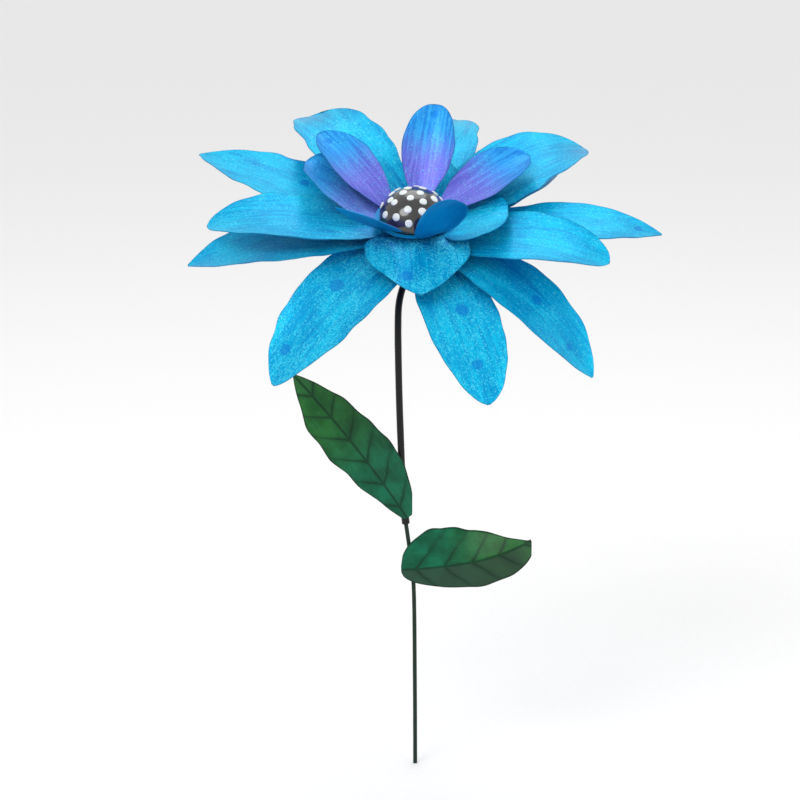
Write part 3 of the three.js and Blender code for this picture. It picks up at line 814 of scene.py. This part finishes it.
def build_dome_dots():
    """Thick round drops of white paint, none quite circular."""
    vertices, faces = [], []
    for index, (azimuth, angle) in enumerate(DOME_DOTS):
        a, e = math.radians(azimuth), math.radians(angle)
        centre = dome_point(a, e)
        normal = (dome_point(a, e, 1) - centre).normalized()
        X = Vector((-math.sin(a), math.cos(a), 0))
        Y = normal.cross(X)
        drop = noise.noise(Vector((index * DOT_SIZE_STEP, 0.5, 0)))
        size = DOT_RADIUS * (1 + DOT_SIZE_RANGE * drop)
        start = len(vertices)
        for ring in range(DOT_RINGS + 1):
            share = ring / DOT_RINGS
            for spoke in range(DOT_SPOKES):
                turn = 2 * math.pi * spoke / DOT_SPOKES
                ripple = noise.noise(Vector((math.cos(turn), math.sin(turn), index * DOT_OUTLINE_STEP)))
                reach = size * (1 + DOT_OUTLINE_RANGE * ripple) * share
                flat = centre + (X * math.cos(turn) + Y * math.sin(turn)) * reach
                lift = DOT_HEIGHT * math.sqrt(max(0, 1 - share ** 3)) if ring < DOT_RINGS else DOT_ROOT
                vertices.append(on_dome(flat, lift))
        for ring in range(DOT_RINGS):
            for spoke in range(DOT_SPOKES):
                a0 = start + ring * DOT_SPOKES + spoke
                b0 = start + ring * DOT_SPOKES + (spoke + 1) % DOT_SPOKES
                faces.append((a0, b0, b0 + DOT_SPOKES, a0 + DOT_SPOKES))
        last = start + DOT_RINGS * DOT_SPOKES
        faces.append(tuple(range(last, last + DOT_SPOKES)))
    dots = new_object("dome_paint_dots", vertices, faces, HEAD)
    bm = bmesh.new()
    bm.from_mesh(dots.data)
    bmesh.ops.remove_doubles(bm, verts=bm.verts, dist=DOT_WELD * MM)
    bmesh.ops.recalc_face_normals(bm, faces=bm.faces)
    bm.to_mesh(dots.data)
    bm.free()
    place(dots, FLOWER_BODY, "dome_black", DOT_WHITE)


# ---- The pivot and the hub, from the stem's top face up ----
WASHER = dict(inside=1.4, outside=3.8, thickness=0.8)
FLANGE_BOTTOM = -3.6
FLANGE_TOP = -2.4
FLANGE_RADIUS = 6.5
BUSH_BORE = 1.5
BUSH_RADIUS = 2.5
BUSH_TOP = 12.55
BACKING_BOTTOM = -2.1
BACKING_TOP = -0.7
BACKING_RADIUS = 8
SPACER_RADIUS = 6
NUT_BOTTOM = 9.55
NUT_TOP = 12.15
NUT_ACROSS_FLATS = 7.5
NUT_CHAMFER = 0.45
NUT_FACE_SHARE = 0.98
PIN_BOTTOM = -13.7
PIN_TOP = 15.95
CAP_BOTTOM = 13.95
CAP_TOP = 17.15
CAP_SHOULDER = 15.95
CAP_RADIUS = 3
CAP_TOP_RADIUS = 1.6
CAP_BORE = 1.4
CAP_BORE_TOP = 16.25


def build_washers():
    for node, bottom in (("lower_thrust_washer", STEM_TOP + GAP), ("upper_thrust_washer", BUSH_TOP + GAP)):
        corners = section(WASHER["inside"], WASHER["outside"], bottom, bottom + WASHER["thickness"])
        place(ring_piece(node + "_plated", corners, WASHER_ROUND), STAKE_BODY, "zinc_plate", ZINC, node)


def build_hub():
    bush = ring_piece("hub_bush_turned", [
        (FLANGE_BOTTOM, BUSH_BORE), (FLANGE_BOTTOM, FLANGE_RADIUS), (FLANGE_TOP, FLANGE_RADIUS),
        (FLANGE_TOP, BUSH_RADIUS), (BUSH_TOP, BUSH_RADIUS), (BUSH_TOP, BUSH_BORE),
    ])
    place(bush, FLOWER_BODY, "brass", BRASS, "hub_bush")
    corners = section(DISC_BORE, BACKING_RADIUS, BACKING_BOTTOM, BACKING_TOP)
    plate = ring_piece("backing_plate_plated", corners, PLATE_ROUND)
    place(plate, FLOWER_BODY, "zinc_plate", ZINC, "backing_plate")
    for level in range(3):
        bottom = level * LAYER_PITCH + SHEET / 2 + GAP
        top = (level + 1) * LAYER_PITCH - SHEET / 2 - GAP
        node = f"spacer_ring_{level + 1}"
        spacer = ring_piece(node + "_plated", section(DISC_BORE, SPACER_RADIUS, bottom, top))
        place(spacer, FLOWER_BODY, "zinc_plate", ZINC, node)


def build_nut():
    flat = NUT_ACROSS_FLATS / 2
    corner = flat / math.cos(math.pi / 6)

    def hexagon(radius, angle):
        return min(radius, flat / math.cos(angle % (math.pi / 3) - math.pi / 6))

    corners = [
        (NUT_BOTTOM, DISC_BORE), (NUT_BOTTOM, flat * NUT_FACE_SHARE), (NUT_BOTTOM + NUT_CHAMFER, corner),
        (NUT_TOP - NUT_CHAMFER, corner), (NUT_TOP, flat * NUT_FACE_SHARE), (NUT_TOP, DISC_BORE),
    ]
    nut = ring_piece("hub_nut_plated", corners, NUT_ROUND, radius_at=hexagon)
    place(nut, FLOWER_BODY, "zinc_plate", ZINC, "hub_nut")


def build_pin():
    pin = turned_piece("pivot_pin_ground", [
        (PIN_BOTTOM, 0), (PIN_BOTTOM, PIN_RADIUS), (PIN_TOP, PIN_RADIUS), (PIN_TOP, 0),
    ], PIN_ROUND)
    place(pin, STAKE_BODY, "zinc_plate", ZINC, "pivot_pin")
    cap = turned_piece("pin_cap_plated", [
        (CAP_TOP, 0), (CAP_TOP, CAP_TOP_RADIUS), (CAP_SHOULDER, CAP_RADIUS), (CAP_BOTTOM, CAP_RADIUS),
        (CAP_BOTTOM, CAP_BORE), (CAP_BORE_TOP, CAP_BORE), (CAP_BORE_TOP, 0),
    ], CAP_ROUND)
    place(cap, STAKE_BODY, "zinc_plate", ZINC, "pin_cap")


# ---- The stake, the stem and the leaves ----
SOCKET_RADIUS = STAKE_RADIUS + GAP + 0.08
SOCKET_DEPTH = 21
PIN_SOCKET_DEPTH = 9
END_ROUND = 0.25
# The dipped paint swells the rods a little: by how much, how often, and the noise seeds.
PAINT_SAG = 0.05
STAKE_SAG = PAINT_SAG * 0.4
SAG_RUN = 9
STAKE_SEED = 1
STEM_SEED = 5
UPPER_COLLAR_Z = 139.5
LOWER_COLLAR_Z = 110.5
CRIMP = 0.05
LINE_STEP = 0.25
# Each leaf's tone seeds its wobble and dents and sets how much painted shade falls on its downward half.
UPPER_LEAF_SEED_AND_SHADE = 0.15
LOWER_LEAF_SEED_AND_SHADE = 0.8


def rounded_end(at, outward, radius):
    """Stations of a rod's end: a flat face with a small round."""
    inner = radius - END_ROUND
    return [(at, 0), (at, inner), (at - outward * END_ROUND * ROUND_PULL, radius - END_ROUND * ROUND_PULL),
            (at - outward * END_ROUND, radius)]


def sagged(stations, radius, amount, seed):
    """Lets the outside swell and thin slightly along the rod, as dipped paint does."""
    def swell(distance):
        return amount * noise.noise(Vector((distance / SAG_RUN, seed, 0)))

    return [(d, r + swell(d) if r == radius else r) for d, r in stations]


def build_stake(path):
    stations = rounded_end(0, -1, STAKE_RADIUS)
    stations += wall(END_ROUND * 2, path.length - END_ROUND * 2, STAKE_RADIUS)
    stations += rounded_end(path.length, 1, STAKE_RADIUS)[::-1]
    vertices, faces = swept(sagged(stations, STAKE_RADIUS, STAKE_SAG, STAKE_SEED), path)
    stake = sharpen(new_object("ground_stake_painted", vertices, faces))
    place(stake, STAKE_BODY, "stake_green", STAKE_GREEN, "ground_stake")


def build_stem():
    axis_points = [tuple(HUB / MM + SPIN_AXIS * height) for height in STEM_AXIS_HEIGHTS]
    path = Path(STEM_LINE + axis_points)
    top = path.length
    pin_bore = PIN_RADIUS + GAP
    stations = [(SOCKET_DEPTH, 0)] + wall(SOCKET_DEPTH, 0, SOCKET_RADIUS)
    stations += [(0, STEM_RADIUS - END_ROUND), (END_ROUND * ROUND_PULL, STEM_RADIUS - END_ROUND * ROUND_PULL)]
    stations += wall(END_ROUND, top - END_ROUND, STEM_RADIUS)
    stations += [(top - END_ROUND * ROUND_PULL, STEM_RADIUS - END_ROUND * ROUND_PULL),
                 (top, STEM_RADIUS - END_ROUND)]
    stations += wall(top, top - PIN_SOCKET_DEPTH, pin_bore) + [(top - PIN_SOCKET_DEPTH, 0)]
    vertices, faces = swept(sagged(stations, STEM_RADIUS, PAINT_SAG, STEM_SEED), path)
    stem = sharpen(new_object("upper_stem_painted", vertices, faces))
    place(stem, STAKE_BODY, "stem_black", STEM_BLACK, "upper_stem")


def build_leaves(stake_path):
    leaves = [("upper_leaf", UPPER_LEAF, UPPER_LEAF_SEED_AND_SHADE), ("lower_leaf", LOWER_LEAF, LOWER_LEAF_SEED_AND_SHADE)]
    for node, leaf, tone in leaves:
        sheet = Sheet()
        add_blade(sheet, leaf, tone)
        piece = keep_inside(sheet.build(node + "_painted"), node)
        place(piece, STAKE_BODY, "leaf_green", LEAF_GREEN, node)

    def crimped(radius, angle):
        return radius * (1 - CRIMP * math.cos(2 * angle)) if radius > SOCKET_RADIUS + GAP else radius

    for node, height in (("upper_leaf_collar", UPPER_COLLAR_Z), ("lower_leaf_collar", LOWER_COLLAR_Z)):
        distance = 0
        while stake_path(distance)[0].z < height:
            distance += LINE_STEP
        bottom = distance - COLLAR_LENGTH / 2
        top = distance + COLLAR_LENGTH / 2
        corners = section(SOCKET_RADIUS, COLLAR_RADIUS, bottom, top)
        collar = ring_piece(node + "_painted", corners, COLLAR_ROUND, stake_path, None, crimped)
        place(collar, STAKE_BODY, "stem_black", STEM_BLACK, node)


# ---- Stage, light and camera ----
FLOOR_HALF = 14
LENS = 96.7
CAMERA_TARGET = Vector((0, 0, 0.1775))
CAMERA_DISTANCE = 1.116
CAMERA_PITCH = math.radians(15)
CAMERA_SHIFT = (-0.019, 0.057)
# (name, place in metres, diameter in metres, watts) of the soft lights, aimed at the hub
AREA_LIGHTS = [
    ("key_soft", (-0.8, -1.1, 1.5), 0.9, 10),
    ("fill_soft", (1.2, -0.9, 0.7), 1.2, 3.5),
    ("top_soft", (0.1, 0.6, 1.6), 1.0, 4),
]
WORLD_STRENGTH = 0.92


def build_floor():
    half = FLOOR_HALF
    corners = [(-half, -half, 0), (half, -half, 0), (half, half, 0), (-half, half, 0)]
    mesh = bpy.data.meshes.new("pale_floor")
    mesh.from_pydata(corners, [], [(0, 1, 2, 3)])
    floor = bpy.data.objects.new("pale_floor", mesh)
    bpy.context.scene.collection.objects.link(floor)
    m = Shade("floor_matt_white", Roughness=0.8)
    speck = m.noise(m.coordinates(), 3, 2)
    colour = m.mixed(speck, srgb(236, 236, 236), srgb(242, 242, 242))
    mesh.materials.append(m.finish(colour, m.math("MULTIPLY_ADD", speck, 0.1, 0.75)))


def area_light(name, place_at, size, watts):
    data = bpy.data.lights.new(name, "AREA")
    data.shape = "DISK"
    data.size = size
    data.energy = watts
    lamp = bpy.data.objects.new(name, data)
    lamp.location = place_at
    lamp.rotation_euler = (HUB - Vector(place_at)).to_track_quat("-Z", "Y").to_euler()
    bpy.context.scene.collection.objects.link(lamp)


def build_light():
    for name, place_at, size, watts in AREA_LIGHTS:
        area_light(name, place_at, size, watts)
    world = bpy.data.worlds.new("studio_white")
    world.use_nodes = True
    background = world.node_tree.nodes["Background"]
    background.inputs["Color"].default_value = (1, 1, 1, 1)
    background.inputs["Strength"].default_value = WORLD_STRENGTH
    bpy.context.scene.world = world
    bpy.context.scene.view_settings.view_transform = "Standard"


def build_camera():
    forward = Vector((0, math.cos(CAMERA_PITCH), -math.sin(CAMERA_PITCH)))
    data = bpy.data.cameras.new("photo_angle")
    data.lens = LENS
    data.shift_x, data.shift_y = CAMERA_SHIFT
    camera = bpy.data.objects.new("photo_angle", data)
    camera.location = CAMERA_TARGET - forward * CAMERA_DISTANCE
    camera.rotation_euler = forward.to_track_quat("-Z", "Y").to_euler()
    bpy.context.scene.collection.objects.link(camera)
    bpy.context.scene.camera = camera


stake_path = Path(STAKE_LINE)
build_stake(stake_path)
build_stem()
build_leaves(stake_path)
build_washers()
build_hub()
build_nut()
build_pin()
build_petals()
build_dome()
build_dome_dots()
build_floor()
build_light()
build_camera()
